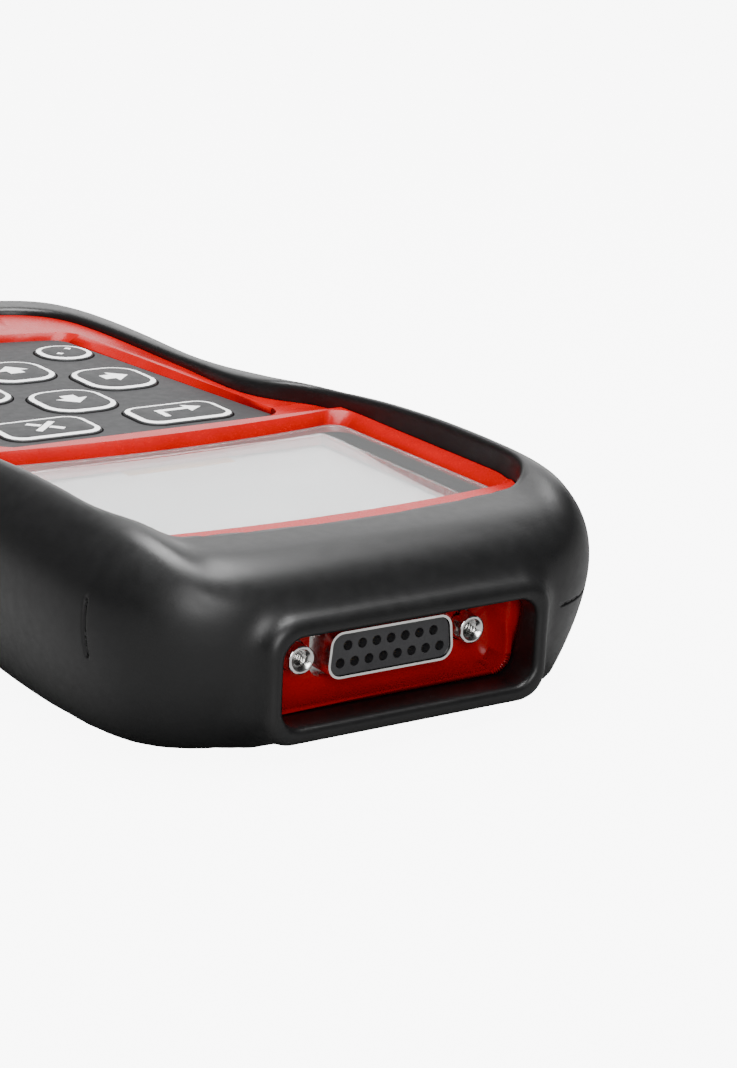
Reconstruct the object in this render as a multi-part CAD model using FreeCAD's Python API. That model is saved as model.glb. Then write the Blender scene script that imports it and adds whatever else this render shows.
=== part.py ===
import FreeCAD, Part
import math
import os

# OBD code reader: a moulded two-part housing inside a rubber boot, with a colour display,
# eight keys and a 15-way female D-sub cable socket at the top end.
# Frame: +Z out of the screen, +Y towards the cable socket, +X to the user's right.
# Origin: centre of the back, on the plane the reader rests on when it lies down.

os.makedirs("parts", exist_ok=True)
V = FreeCAD.Vector

# ---------- driving dimensions, mm ----------
LENGTH = 200.0                  # far end of the boot to the mouth of the socket collar
WIDE = 50.0                     # half width of the boot beside the screen
Z_WIDE = 20.5                   # widest level of the boot
Z_MID = 14.0                    # centre of the socket
BOOT_Z0 = 0.9                   # underside of the boot; the housing back stands proud of it
BOOT_WALL = 2.6
GAP = 0.3                       # boot to housing, where both are curved
SHELL_WALL = 2.0
PART_Z = 4.6                    # parting plane of the two mouldings
LEDGE_Z = 28.6                  # housing rim that the boot lip covers
PLATE_Z0 = 25.8                 # underside of the front plate
BEZEL_Z = 31.4                  # raised frame round the screen
GRIP_Z = 30.3                   # raised frame round the keypad
LENS_Z = 29.3                   # outer face of the screen lens
LENS_T = 1.6
TAPE_T = 0.3
PANEL_Z = 29.0                  # face of the keypad panel
PANEL_T = 1.0
KEY_RISE = 0.7                  # key tops above the panel
KEY_GAP = 0.3
BOARD_T = 1.6
MAIN_Z = 6.4                    # underside of the main board
DISP_Z = 20.4                   # underside of the display board
BACK_T = 2.0                    # floor of the back moulding
SOCKET_Y = 93.4                 # front rim of the D-sub shell
WALL_Y = 87.8                   # inner face of the wall the D-sub is clamped to
JACK_X = 16.65                  # half the 33.3 mm jackscrew spacing of a 15-way D-sub
PITCH = 2.77                    # contact pitch
ROW = 1.42                      # half the row spacing
FLANGE_X = 19.55
FLANGE_Z = 6.25

# right-hand half of the plan outline at the widest level, far end first
HALF = [(0, -100), (13, -99.6), (25, -97.6), (34, -91.8), (38.8, -82), (40.6, -68),
        (40.7, -54), (40.1, -40), (40.0, -26), (42.0, -12), (45.2, 2), (47.7, 16),
        (49.2, 31), (49.9, 46), (49.8, 65.9), (48.2, 78.3), (44.9, 86.7), (39.6, 92.3),
        (31.9, 96.0), (21.6, 97.6)]
NEAR = (0, 98.0)

# keys: name, centre x, centre y, width, height, corner radius
KEYS = [("key_enter", -14.0, 0.2, 19.8, 13.0, 4.0),
        ("key_back", 14.0, 0.2, 19.8, 13.0, 4.0),
        ("key_up", 0.0, -15.6, 15.4, 16.6, 6.0),
        ("key_left", -15.8, -28.0, 15.0, 17.2, 6.0),
        ("key_right", 15.8, -28.0, 15.0, 17.2, 6.0),
        ("key_down", 0.0, -40.4, 15.4, 16.6, 6.0),
        ("key_status", -17.0, -51.0, 11.4, 12.4, 5.6),
        ("key_help", 17.0, -51.0, 11.4, 12.4, 5.6)]

HOUSING_SCREWS = [(34.6, 77.6), (28.7, -10), (22, -80)]
MAIN_SCREWS = [(27, 66), (27, 14), (20, -66)]
DISP_SCREWS = [(27.5, 76), (27.5, 15.5), (20.5, -68)]


# ---------- helpers ----------
def box(x0, x1, y0, y1, z0, z1):
    return Part.makeBox(x1 - x0, y1 - y0, z1 - z0, V(x0, y0, z0))


def cyl_z(x, y, z0, z1, r):
    return Part.makeCylinder(r, z1 - z0, V(x, y, z0), V(0, 0, 1))


def cyl_y(x, z, y0, y1, r):
    return Part.makeCylinder(r, y1 - y0, V(x, y0, z), V(0, 1, 0))


def fuse(shapes):
    whole = shapes[0].multiFuse(shapes[1:]) if len(shapes) > 1 else shapes[0]
    return whole.removeSplitter()


def cut(shape, tools):
    return shape.cut(Part.makeCompound(tools)) if len(tools) == 1 else shape.cut(fuse(tools))


def both_sides(points):
    return [(s * x, y) for x, y in points for s in (-1, 1)]


def save(name, shape):
    shape.exportStep("parts/" + name + ".step")
    b = shape.optimalBoundingBox(False)
    print("%-21s solids %2d valid %s  vol %7d  x %.1f %.1f  y %.1f %.1f  z %.2f %.2f" % (
        name, len(shape.Solids), shape.isValid(), shape.Volume, b.XMin, b.XMax, b.YMin, b.YMax, b.ZMin, b.ZMax))


def closed_spline(points, z):
    curve = Part.BSplineCurve()
    curve.interpolate([V(x, y, z) for x, y in points], PeriodicFlag=True)
    return curve


def mirrored(half, near):
    return half + [near] + [(-x, y) for x, y in reversed(half[1:])]


MASTER = closed_spline(mirrored(HALF, NEAR), 0)
SAMPLES = 56


def plan(inset, z):
    """Wire of the plan outline moved inwards by inset, at height z."""
    points = []
    first, last = MASTER.FirstParameter, MASTER.LastParameter
    for i in range(SAMPLES):
        u = first + (last - first) * i / SAMPLES
        p = MASTER.value(u)
        t = MASTER.tangent(u)[0]
        points.append((p.x - t.y * inset, p.y + t.x * inset))
    return Part.Wire([closed_spline(points, z).toShape()])


def belly(z):
    """How far the side of the boot lies inside its widest outline at height z."""
    if z > Z_WIDE:
        return 8.0 * ((z - Z_WIDE) / 15.8) ** 2.4
    return 6.2 * ((Z_WIDE - z) / 19.6) ** 1.63


def belly_solid(extra, z0, z1, step=3.6):
    """Belly shape, inset by extra, from z0 to z1, with its levels shared between all such solids."""
    shared = [PART_Z + step * i for i in range(10)]
    levels = [z0] + [z for z in shared if z0 + 0.7 < z < z1 - 0.7] + [z1]
    return Part.makeLoft([plan(belly(z) + extra, z) for z in levels], True, False)


def prism(wire, height):
    return Part.Face(wire).extrude(V(0, 0, height))


def soft(wire, r):
    """Round the outward corners of a flat wire."""
    return wire.makeOffset2D(-r).makeOffset2D(r)


def rrect(cx, cy, w, h, r, z):
    x0, x1, y0, y1 = cx - w / 2, cx + w / 2, cy - h / 2, cy + h / 2
    corners = [V(x0, y0, z), V(x1, y0, z), V(x1, y1, z), V(x0, y1, z), V(x0, y0, z)]
    return soft(Part.makePolygon(corners), r)


def rrect_y(hw, z0, z1, r, y):
    wire = rrect(0, (z0 + z1) / 2, 2 * hw, z1 - z0, r, 0)
    wire.rotate(V(0, 0, 0), V(1, 0, 0), 90)
    wire.translate(V(0, y, 0))
    return wire


def block_y(hw, z0, z1, r, y0, y1):
    return Part.Face(rrect_y(hw, z0, z1, r, y0)).extrude(V(0, y1 - y0, 0))


def bowed(hw_far, hw_near, y_far, y_near, bow_far, bow_near, r, z):
    """Four-sided outline whose two end edges bow towards +Y (positive) or -Y (negative)."""
    a, b = V(-hw_far, y_far - bow_far, z), V(hw_far, y_far - bow_far, z)
    c, d = V(hw_near, y_near - bow_near, z), V(-hw_near, y_near - bow_near, z)
    edges = [Part.Arc(a, V(0, y_far, z), b).toShape(),
             Part.makeLine(b, c),
             Part.Arc(c, V(0, y_near, z), d).toShape(),
             Part.makeLine(d, a)]
    return soft(Part.Wire(edges), r)


def profile_wire(points, x):
    """Closed wire in the plane x = const: a smooth curve through points, closed far above."""
    curve = Part.BSplineCurve()
    curve.interpolate([V(x, y, z) for y, z in points])
    first, last = points[0], points[-1]
    up = [V(x, last[0], last[1]), V(x, last[0], 60), V(x, first[0], 60), V(x, first[0], first[1])]
    return Part.Wire([curve.toShape()] + [Part.makeLine(up[i], up[i + 1]) for i in range(3)])


def ribbon(points, thick, x0, x1):
    """Flat cable: a bent strip of even thickness whose path lies in a plane x = const."""
    left, right = [], []
    for i, (y, z) in enumerate(points):
        a = points[max(i - 1, 0)]
        b = points[min(i + 1, len(points) - 1)]
        n = math.hypot(b[0] - a[0], b[1] - a[1])
        dy, dz = -(b[1] - a[1]) / n * thick / 2, (b[0] - a[0]) / n * thick / 2
        left.append(V(x0, y + dy, z + dz))
        right.append(V(x0, y - dy, z - dz))
    ring = left + right[::-1] + [left[0]]
    return Part.Face(Part.makePolygon(ring)).extrude(V(x1 - x0, 0, 0))


# ---------- boot ----------
# height of the boot rim along the reader: over the middle, and over the two long sides
RIM_MIDDLE = [(110, 8), (102, 21.5), (100, 26), (97, 29), (93, 31), (88.5, 32), (84, 32.4), (80, 32.8),
              (75, 33.6), (66, 35.3)]
RIM_SIDE = [(110, 8), (100.6, 21.5), (98.6, 28), (96.9, 30.6), (95.1, 32.4), (91.1, 35.1), (86.6, 36.5),
            (83, 36.8), (78, 36.9), (66, 36.9)]
RIM_REST = [(45, 36.9), (29, 36.0), (13, 34.5), (-2, 33.1), (-17, 32.3), (-32, 31.8), (-60, 31.5),
            (-85, 31.3), (-108, 30.4)]
OPENING = [(0, -84.8), (12, -84.2), (21.5, -82), (27.5, -76.5), (30.2, -67), (31.0, -52), (31.0, -36),
           (30.8, -20), (30.9, -6), (33.6, 2.5), (38.0, 8.5), (40.1, 17), (40.3, 30), (40.3, 45),
           (40.3, 60), (39.7, 70), (36.0, 77.4), (28, 80.0), (14, 81.5)]
OPENING_NEAR = (0, 82.0)


def opening(inset, z):
    master = closed_spline(mirrored(OPENING, OPENING_NEAR), 0)
    points = []
    for i in range(64):
        u = master.FirstParameter + (master.LastParameter - master.FirstParameter) * i / 64
        p = master.value(u)
        t = master.tangent(u)[0]
        points.append((p.x - t.y * inset, p.y + t.x * inset))
    return Part.Wire([closed_spline(points, z).toShape()])


boot = belly_solid(0, BOOT_Z0, 37.6)
def rim_profile(x):
    """Rim heights at x: the middle ones up to 27 mm out, the side ones from 44 mm out."""
    t = min(max((abs(x) - 27.0) / 17.0, 0.0), 1.0)
    t = t * t * (3 - 2 * t)
    mixed = [(a[0] + (b[0] - a[0]) * t, a[1] + (b[1] - a[1]) * t) for a, b in zip(RIM_MIDDLE, RIM_SIDE)]
    return profile_wire(mixed + RIM_REST, x)


above = Part.makeLoft([rim_profile(x) for x in (-62, -44, -40.5, -37, -33.5, -30, -27,
                                                27, 30, 33.5, 37, 40.5, 44, 62)], True, True)
boot = boot.cut(above)
collar = Part.makeLoft([rrect_y(32.0, 1.2, 26.8, 8.0, 89), rrect_y(29.3, 2.1, 24.8, 6.5, 95.6),
                        rrect_y(27.1, 2.9, 23.2, 5.0, 100)], True, False)
boot = boot.fuse(collar)
boot = boot.cut(belly_solid(BOOT_WALL, 2.35, LEDGE_Z))
boot = boot.cut(prism(opening(0, 20), 30))
boot = boot.cut(prism(plan(10.0, -1), 6))
boot = boot.cut(block_y(24.4, 5.67, 20.51, 3.6, 80, 103))
boot = boot.removeSplitter()

# ---------- front moulding ----------
front = belly_solid(BOOT_WALL + GAP, PART_Z, LEDGE_Z).common(box(-60, 60, -110, SOCKET_Y, 0, 40))
raised = prism(opening(0.25, LEDGE_Z - 1), GRIP_Z - LEDGE_Z + 1)
bezel = prism(opening(0.25, LEDGE_Z - 1), BEZEL_Z - LEDGE_Z + 1)
bezel = bezel.common(box(-60, 60, 16.5, 95, 20, 40))
nose = block_y(24.2, 5.87, 20.31, 3.4, 84, SOCKET_Y)
front = front.fuse(raised).fuse(bezel)
hollow = belly_solid(BOOT_WALL + GAP + SHELL_WALL, PART_Z - 1, PLATE_Z0)
front = front.cut(hollow.common(box(-60, 60, -110, SOCKET_Y - SHELL_WALL, 0, 40)))
front = front.fuse(nose)
front = front.cut(box(-26, 26, 80, WALL_Y, 0, PLATE_Z0))
front = front.cut(block_y(22.5, 6.8, 19.4, 2.6, WALL_Y + 1.6, 96))
front = front.cut(block_y(13.3, 9.2, 18.8, 2.8, 86, 92))
posts = [cyl_z(x, y, PART_Z, PLATE_Z0 + 0.5, 3.0) for x, y in both_sides(HOUSING_SCREWS)]
posts += [cyl_z(x, y, DISP_Z + BOARD_T, PLATE_Z0 + 0.5, 2.2) for x, y in both_sides(DISP_SCREWS)]
front = front.fuse(fuse(posts))

screen_low = bowed(37.4, 37.6, 22.2, 75.0, 3.2, 3.4, 3.2, LENS_Z)
screen_top = bowed(40.0, 40.0, 20.0, 75.6, 3.2, 3.4, 4.2, BEZEL_Z + 0.02)
panel_low = bowed(22.6, 30.4, -65.8, 12.0, -3.4, 0.2, 4.0, PANEL_Z)
panel_top = bowed(25.4, 30.2, -67.0, 13.2, -3.8, 0.2, 5.0, GRIP_Z + 0.02)
holes = [prism(bowed(37.4, 37.6, 22.2, 75.0, 3.2, 3.4, 3.2, LENS_Z - LENS_T - TAPE_T), LENS_T + TAPE_T),
         Part.makeLoft([screen_low, screen_top], True, True),
         prism(bowed(22.6, 30.4, -65.8, 12.0, -3.4, 0.2, 4.0, PANEL_Z - PANEL_T), PANEL_T),
         Part.makeLoft([panel_low, panel_top], True, True),
         box(-31, 31, 24, 68, 20, 28)]
holes += [prism(rrect(cx, cy, w + 2 * KEY_GAP, h + 2 * KEY_GAP, r + KEY_GAP, 22), 8)
          for _, cx, cy, w, h, r in KEYS]
holes += [cyl_y(s * JACK_X, Z_MID, 84, 92, 2.7) for s in (-1, 1)]
holes += [cyl_z(x, y, 0, 16, 1.2) for x, y in both_sides(HOUSING_SCREWS)]
holes += [cyl_z(x, y, 18, PLATE_Z0 + 1.2, 0.9) for x, y in both_sides(DISP_SCREWS)]
for tool in holes:
    front = front.cut(tool)

# ---------- back moulding ----------
rear = Part.makeLoft([plan(belly(z) + BOOT_WALL + GAP, z) for z in (2.4, 3.5, PART_Z - 0.05)], True, False)
rear = rear.fuse(prism(plan(10.3, 0), 3.0))
rear = rear.cut(prism(plan(12.6, BACK_T), 4.0))
rear = rear.fuse(fuse([cyl_z(x, y, BACK_T - 0.5, MAIN_Z, 2.4) for x, y in both_sides(MAIN_SCREWS)]))
rear_holes = []
for x, y in both_sides(HOUSING_SCREWS):
    rear_holes += [cyl_z(x, y, -1, 9, 1.5), cyl_z(x, y, -1, 1.9, 2.7)]
rear_holes += [cyl_z(x, y, 2.4, 9, 1.0) for x, y in both_sides(MAIN_SCREWS)]
rear_holes += [prism(rrect(0, 38, 56.4, 40.4, 2.2, -1), 1.25)]
for tool in rear_holes:
    rear = rear.cut(tool)
collars = [cyl_z(x, y, 1.9, PART_Z - 0.05, 3.4).cut(cyl_z(x, y, 0, 9, 1.5))
           for x, y in both_sides(HOUSING_SCREWS)]
rear = rear.fuse(fuse(collars))
rear = rear.cut(Part.makeCompound([cyl_z(x, y, -1, 1.9, 2.7) for x, y in both_sides(HOUSING_SCREWS)]))
rear = rear.removeSplitter()
rating_plate = prism(rrect(0, 38, 56.0, 40.0, 2.0, 0.05), 0.2)

# ---------- screen ----------
lens = prism(bowed(37.2, 37.4, 22.4, 74.8, 3.2, 3.4, 3.0, LENS_Z - LENS_T), LENS_T)
tape = prism(bowed(36.8, 37.0, 22.8, 74.4, 3.2, 3.4, 2.6, LENS_Z - LENS_T - TAPE_T), TAPE_T)
tape = tape.cut(box(-31.5, 31.5, 23.8, 68.5, 20, 30))
DISP_TOP = DISP_Z + BOARD_T
lcd_frame = box(-33, 33, 20.5, 71.5, DISP_TOP, PLATE_Z0 - 0.1)
lcd_frame = lcd_frame.cut(box(-31.6, 31.6, 22.3, 69.7, DISP_TOP + 0.5, 30))
lcd_frame = lcd_frame.cut(box(-12.5, 12.5, 19, 23, PLATE_Z0 - 0.6, 30))
backlight = box(-31.4, 31.4, 22.5, 69.5, DISP_TOP + 0.5, DISP_TOP + 2.0)
lcd_glass = box(-31.4, 31.4, 22.5, 69.5, DISP_TOP + 2.0, DISP_TOP + 3.3)
Z_FLEX = DISP_TOP + 3.38
bend = [(26, Z_FLEX), (20.6, Z_FLEX)]
bend += [(20.6 - 1.4 * math.sin(a), Z_FLEX - 1.4 + 1.4 * math.cos(a))
         for a in [math.radians(18 * i) for i in range(1, 6)]]
bend += [(18.2 + 1.0 * math.cos(a), DISP_TOP + 1.6 - 1.0 * math.sin(a))
         for a in [math.radians(18 * i) for i in range(0, 6)]]
bend += [(17.0, DISP_TOP + 0.6)]
lcd_flex = ribbon(bend, 0.15, -11, 11)
flex_socket = box(-12.5, 12.5, 13.2, 17.4, DISP_TOP, DISP_TOP + 1.3)
flex_socket = flex_socket.cut(box(-11.3, 11.3, 15.6, 18, DISP_TOP + 0.4, DISP_TOP + 0.8))

# ---------- keypad ----------
panel = prism(bowed(22.4, 30.2, -65.6, 11.8, -3.4, 0.2, 3.8, PANEL_Z - PANEL_T), PANEL_T)
domes = []
for _, cx, cy, w, h, r in KEYS:
    panel = panel.cut(prism(rrect(cx, cy, w + 2 * KEY_GAP, h + 2 * KEY_GAP, r + KEY_GAP, 26), 5))
    dome = Part.makeSphere(12.0, V(cx, cy, DISP_TOP + 0.45 - 12.0))
    dome = dome.cut(Part.makeSphere(11.85, V(cx, cy, DISP_TOP + 0.45 - 12.0)))
    domes.append(dome.common(cyl_z(cx, cy, DISP_TOP, DISP_TOP + 1, 3.0)))
snap_domes = Part.makeCompound(domes)

keys = {}
for name, cx, cy, w, h, r in KEYS:
    cap = prism(rrect(cx, cy, w, h, r, PLATE_Z0 - 0.85), PANEL_Z + KEY_RISE - PLATE_Z0 + 0.85)
    rim = [e for e in cap.Edges if e.BoundBox.ZMin > PANEL_Z + KEY_RISE - 0.01]
    cap = cap.makeFillet(0.35, rim)
    skirt = prism(rrect(cx, cy, w + 1.2, h + 1.2, r + 0.6, PLATE_Z0 - 0.85), 0.8)
    stem = cyl_z(cx, cy, DISP_TOP + 0.9, PLATE_Z0 - 0.5, 1.8)
    keys[name] = fuse([cap, skirt, stem])


# ---------- boards ----------
def board(z, screws, hole_r, far):
    plate = fuse([box(-31, 31, 4, 84, z, z + BOARD_T), box(-24.5, 24.5, far, 6, z, z + BOARD_T)])
    corners = [e for e in plate.Edges if abs(e.Length - BOARD_T) < 1e-6 and e.BoundBox.ZLength > 1]
    plate = plate.makeFillet(1.5, corners)
    return plate.cut(fuse([cyl_z(x, y, z - 1, z + 3, hole_r) for x, y in both_sides(screws)]))


MAIN_TOP = MAIN_Z + BOARD_T
main_board = board(MAIN_Z, MAIN_SCREWS, 1.3, -74)
display_board = board(DISP_Z, DISP_SCREWS, 1.2, -74)
header_base = box(-14.0, 14.0, -4, 1.0, MAIN_TOP, MAIN_TOP + 8.5)
board_socket = header_base
board_header = [box(-14.0, 14.0, -4, 1.0, DISP_Z - 2.5, DISP_Z)]
for i in range(10):
    for y in (-2.77, -0.23):
        x = -11.43 + 2.54 * i
        board_socket = board_socket.cut(box(x - 0.45, x + 0.45, y - 0.45, y + 0.45, MAIN_TOP + 2, 20))
        board_header.append(box(x - 0.32, x + 0.32, y - 0.32, y + 0.32, MAIN_TOP + 3.0, DISP_Z - 1))
board_header = fuse(board_header)

# ---------- D-sub socket ----------
def dee(hw_top, hw_low, hh, r, y0, y1):
    """D-shaped block along Y; the wide side faces down, as on the real socket."""
    ring = [V(-hw_low, y0, Z_MID - hh), V(hw_low, y0, Z_MID - hh), V(hw_top, y0, Z_MID + hh),
            V(-hw_top, y0, Z_MID + hh), V(-hw_low, y0, Z_MID - hh)]
    solid = Part.Face(Part.makePolygon(ring)).extrude(V(0, y1 - y0, 0))
    return solid.makeFillet(r, [e for e in solid.Edges if e.BoundBox.YLength > 0.9 * (y1 - y0)])


flange = block_y(FLANGE_X, Z_MID - FLANGE_Z, Z_MID + FLANGE_Z, 1.5, WALL_Y - 0.8, WALL_Y)
shroud = dee(11.6, 12.35, 3.95, 2.4, WALL_Y - 0.5, SOCKET_Y)
connector_shell = fuse([flange, shroud])
connector_shell = connector_shell.cut(dee(11.2, 11.95, 3.55, 2.0, WALL_Y - 2, SOCKET_Y + 1))
insulator = [dee(11.1, 11.85, 3.45, 1.9, WALL_Y - 7.6, SOCKET_Y - 0.35),
             box(-14.2, 14.2, WALL_Y - 7.6, WALL_Y - 0.85, MAIN_TOP, Z_MID + 5.2)]
insulator = fuse(insulator)
contacts = []
for row, count in ((1, 7), (-1, 8)):
    for i in range(count):
        x = (i - (count - 1) / 2) * PITCH
        z = Z_MID + row * ROW
        back = WALL_Y - (8.8 if row < 0 else 11.4)
        insulator = insulator.cut(cyl_y(x, z, 90.0, 95, 0.85))
        insulator = insulator.cut(cyl_y(x, z, WALL_Y - 9, 90.2, 0.66))
        sleeve = cyl_y(x, z, WALL_Y - 6, SOCKET_Y - 2.9, 0.62)
        sleeve = sleeve.cut(cyl_y(x, z, SOCKET_Y - 5, SOCKET_Y, 0.5))
        tail = box(x - 0.3, x + 0.3, back, WALL_Y - 5, z - 0.3, z + 0.3)
        drop = box(x - 0.3, x + 0.3, back, back + 0.6, MAIN_Z - 1.0, z + 0.3)
        contacts.append(fuse([sleeve, tail, drop]))
        main_board = main_board.cut(cyl_z(x, back + 0.3, 0, 12, 0.5))
contacts = Part.makeCompound(contacts)
bracket = fuse([box(-FLANGE_X, FLANGE_X, WALL_Y - 1.9, WALL_Y - 0.8, MAIN_TOP, Z_MID + FLANGE_Z),
                box(-FLANGE_X, -14.4, WALL_Y - 9.0, WALL_Y - 1.5, MAIN_TOP, MAIN_TOP + 0.8),
                box(14.4, FLANGE_X, WALL_Y - 9.0, WALL_Y - 1.5, MAIN_TOP, MAIN_TOP + 0.8)])
bracket = bracket.cut(box(-14.4, 14.4, 70, 90, 6, Z_MID + 5.4))
jack_holes = [cyl_y(s * JACK_X, Z_MID, 80, 90, 1.6) for s in (-1, 1)]
bracket = bracket.cut(fuse(jack_holes))
connector_shell = connector_shell.cut(fuse(jack_holes))
nuts = []
for s in (-1, 1):
    hexagon = [V(s * JACK_X + 2.75 * math.cos(math.radians(60 * i)), WALL_Y,
                 Z_MID + 2.75 * math.sin(math.radians(60 * i))) for i in range(7)]
    head = Part.Face(Part.makePolygon(hexagon)).extrude(V(0, 4.7, 0))
    cone = Part.makeCone(5.2, 2.05, 6.3, V(s * JACK_X, WALL_Y - 1.6, Z_MID), V(0, 1, 0))
    head = head.common(cone).common(cyl_y(s * JACK_X, Z_MID, WALL_Y - 1, WALL_Y + 6, 2.55))
    stud = cyl_y(s * JACK_X, Z_MID, WALL_Y - 4.5, WALL_Y + 0.5, 1.45)
    nuts.append(head.fuse(stud).cut(cyl_y(s * JACK_X, Z_MID, WALL_Y - 0.5, WALL_Y + 8, 1.25)))
jack_nuts = Part.makeCompound(nuts)


# ---------- parts on the main board ----------
def leaded_chip(cx, cy, w, h, tall, per_side, pitch, four_sides):
    body = box(cx - w / 2, cx + w / 2, cy - h / 2, cy + h / 2, MAIN_TOP + 0.12, MAIN_TOP + tall)
    legs = []
    for k in range(per_side):
        t = (k - (per_side - 1) / 2) * pitch
        for s in (-1, 1):
            legs.append(box(cx + t - 0.16, cx + t + 0.16, cy + s * (h / 2 + 0.5) - 0.6,
                            cy + s * (h / 2 + 0.5) + 0.6, MAIN_TOP, MAIN_TOP + 0.3))
            if four_sides:
                legs.append(box(cx + s * (w / 2 + 0.5) - 0.6, cx + s * (w / 2 + 0.5) + 0.6,
                                cy + t - 0.16, cy + t + 0.16, MAIN_TOP, MAIN_TOP + 0.3))
    return fuse([body] + legs)


controller = leaded_chip(0, 34, 12, 12, 1.5, 16, 0.65, True)
memory = Part.makeCompound([leaded_chip(x, 52, 8, 5.3, 1.7, 5, 1.27, False) for x in (-9, 9)])
transceivers = Part.makeCompound([leaded_chip(x, 70, 5, 4, 1.5, 4, 1.27, False) for x in (-20, 0, 20)])
crystal = fuse([prism(rrect(17, 34, 4.6, 11, 2.25, MAIN_TOP), 0.5),
                prism(rrect(17, 34, 3.8, 10.2, 1.85, MAIN_TOP + 0.4), 3.1)])
regulator = fuse([box(-23, -16, 30, 36, MAIN_TOP + 0.1, MAIN_TOP + 2.3),
                  box(-22.6, -16.4, 35.5, 38.4, MAIN_TOP, MAIN_TOP + 0.6),
                  box(-22.2, -21.2, 27.6, 30.5, MAIN_TOP, MAIN_TOP + 0.6),
                  box(-17.8, -16.8, 27.6, 30.5, MAIN_TOP, MAIN_TOP + 0.6)])
capacitors = Part.makeCompound([fuse([box(x - 3.3, x + 3.3, y - 3.3, y + 3.3, MAIN_TOP, MAIN_TOP + 0.8),
                                      cyl_z(x, y, MAIN_TOP + 0.5, MAIN_TOP + 7.7, 3.1)])
                                for x, y in ((-22, 50), (22, 50))])
buzzer = cyl_z(0, -30, MAIN_TOP, MAIN_TOP + 7.5, 6.0).cut(cyl_z(0, -30, MAIN_TOP + 6.5, 20, 1.2))
passives = Part.makeCompound([box(x - 1.0, x + 1.0, y - 0.6, y + 0.6, MAIN_TOP, MAIN_TOP + 0.9)
                              for x in (-12, -4, 4, 12) for y in (10, 18, 60, -44, -52)])


# ---------- screws ----------
def screw(x, y, z_head, head_t, head_r, z_tip, shank_r, up):
    """Pan-head screw with a cross recess; the head lies at z_head, the shank runs to z_tip."""
    s = 1 if up else -1
    head = cyl_z(x, y, min(z_head, z_head + s * head_t), max(z_head, z_head + s * head_t), head_r)
    face = z_head + s * head_t
    slots = [box(x - 1.3, x + 1.3, y - 0.3, y + 0.3, face - 0.8, face + 0.8),
             box(x - 0.3, x + 0.3, y - 1.3, y + 1.3, face - 0.8, face + 0.8)]
    shank = cyl_z(x, y, min(z_head, z_tip), max(z_head, z_tip), shank_r)
    return head.cut(fuse(slots)).fuse(shank).removeSplitter()


housing_screws = Part.makeCompound([screw(x, y, 1.9, 1.4, 2.5, 14, 1.15, False)
                                    for x, y in both_sides(HOUSING_SCREWS)])
main_screws = Part.makeCompound([screw(x, y, MAIN_TOP, 1.5, 2.2, 3.0, 0.95, True)
                                 for x, y in both_sides(MAIN_SCREWS)])
display_screws = Part.makeCompound([screw(x, y, DISP_Z, 1.4, 2.0, PLATE_Z0 + 0.6, 0.85, False)
                                    for x, y in both_sides(DISP_SCREWS)])

for name, shape in [("boot", boot), ("front_shell", front), ("rear_shell", rear),
                    ("rating_plate", rating_plate), ("screen_lens", lens), ("lens_tape", tape),
                    ("lcd_frame", lcd_frame), ("lcd_backlight", backlight), ("lcd_glass", lcd_glass),
                    ("lcd_flex", lcd_flex), ("flex_socket", flex_socket), ("keypad_panel", panel),
                    ("snap_domes", snap_domes), ("display_board", display_board),
                    ("main_board", main_board), ("board_socket", board_socket),
                    ("board_header", board_header), ("connector_shell", connector_shell),
                    ("connector_insulator", insulator), ("connector_contacts", contacts),
                    ("connector_bracket", bracket), ("jack_nuts", jack_nuts),
                    ("controller_chip", controller), ("memory_chips", memory),
                    ("transceiver_chips", transceivers), ("crystal", crystal),
                    ("regulator", regulator), ("capacitors", capacitors), ("buzzer", buzzer),
                    ("small_passives", passives), ("housing_screws", housing_screws),
                    ("main_board_screws", main_screws), ("display_board_screws", display_screws)]:
    save(name, shape)
for name, shape in keys.items():
    save(name, shape)
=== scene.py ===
# %% [markdown]
# # OBD code reader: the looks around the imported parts
# The reader is a two-part red housing inside a black rubber boot. The camera stands beyond the cable
# socket and looks back along the reader, so the rubber near end, the socket pocket and the window
# matter most. Lengths below are in millimetres until a mesh is written, and MM turns them to metres.

# %% imports and the frame
import math
import bmesh
import bpy
import numpy as np
from mathutils import Matrix, Vector


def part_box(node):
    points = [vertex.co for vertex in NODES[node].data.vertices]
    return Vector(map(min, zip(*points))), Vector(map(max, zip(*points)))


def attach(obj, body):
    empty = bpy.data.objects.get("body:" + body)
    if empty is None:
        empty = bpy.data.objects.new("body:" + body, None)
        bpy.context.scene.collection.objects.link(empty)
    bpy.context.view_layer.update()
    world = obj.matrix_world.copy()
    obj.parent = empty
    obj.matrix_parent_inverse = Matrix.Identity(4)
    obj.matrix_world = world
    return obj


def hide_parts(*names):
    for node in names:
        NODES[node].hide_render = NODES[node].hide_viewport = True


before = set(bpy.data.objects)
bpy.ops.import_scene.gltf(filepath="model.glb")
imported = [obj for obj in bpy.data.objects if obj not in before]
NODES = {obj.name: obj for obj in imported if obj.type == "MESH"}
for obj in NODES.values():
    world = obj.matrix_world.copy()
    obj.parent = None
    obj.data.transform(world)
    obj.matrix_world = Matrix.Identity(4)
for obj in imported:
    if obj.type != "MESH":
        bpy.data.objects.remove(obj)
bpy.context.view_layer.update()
MM = 0.001
COLLECTION = bpy.context.scene.collection
for wanted in ("boot", "front_shell", "screen_lens", "keypad_panel", "connector_shell"):
    low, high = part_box(wanted)
    print(wanted, [round(v / MM, 2) for v in (*low, *high)])

# %% [markdown]
# ## Camera
# A long lens from a few hand-widths away: the reader fills the frame and its far end shrinks a little.
# The camera is rolled by a couple of degrees, because the object lies slightly askew in view.

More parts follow.
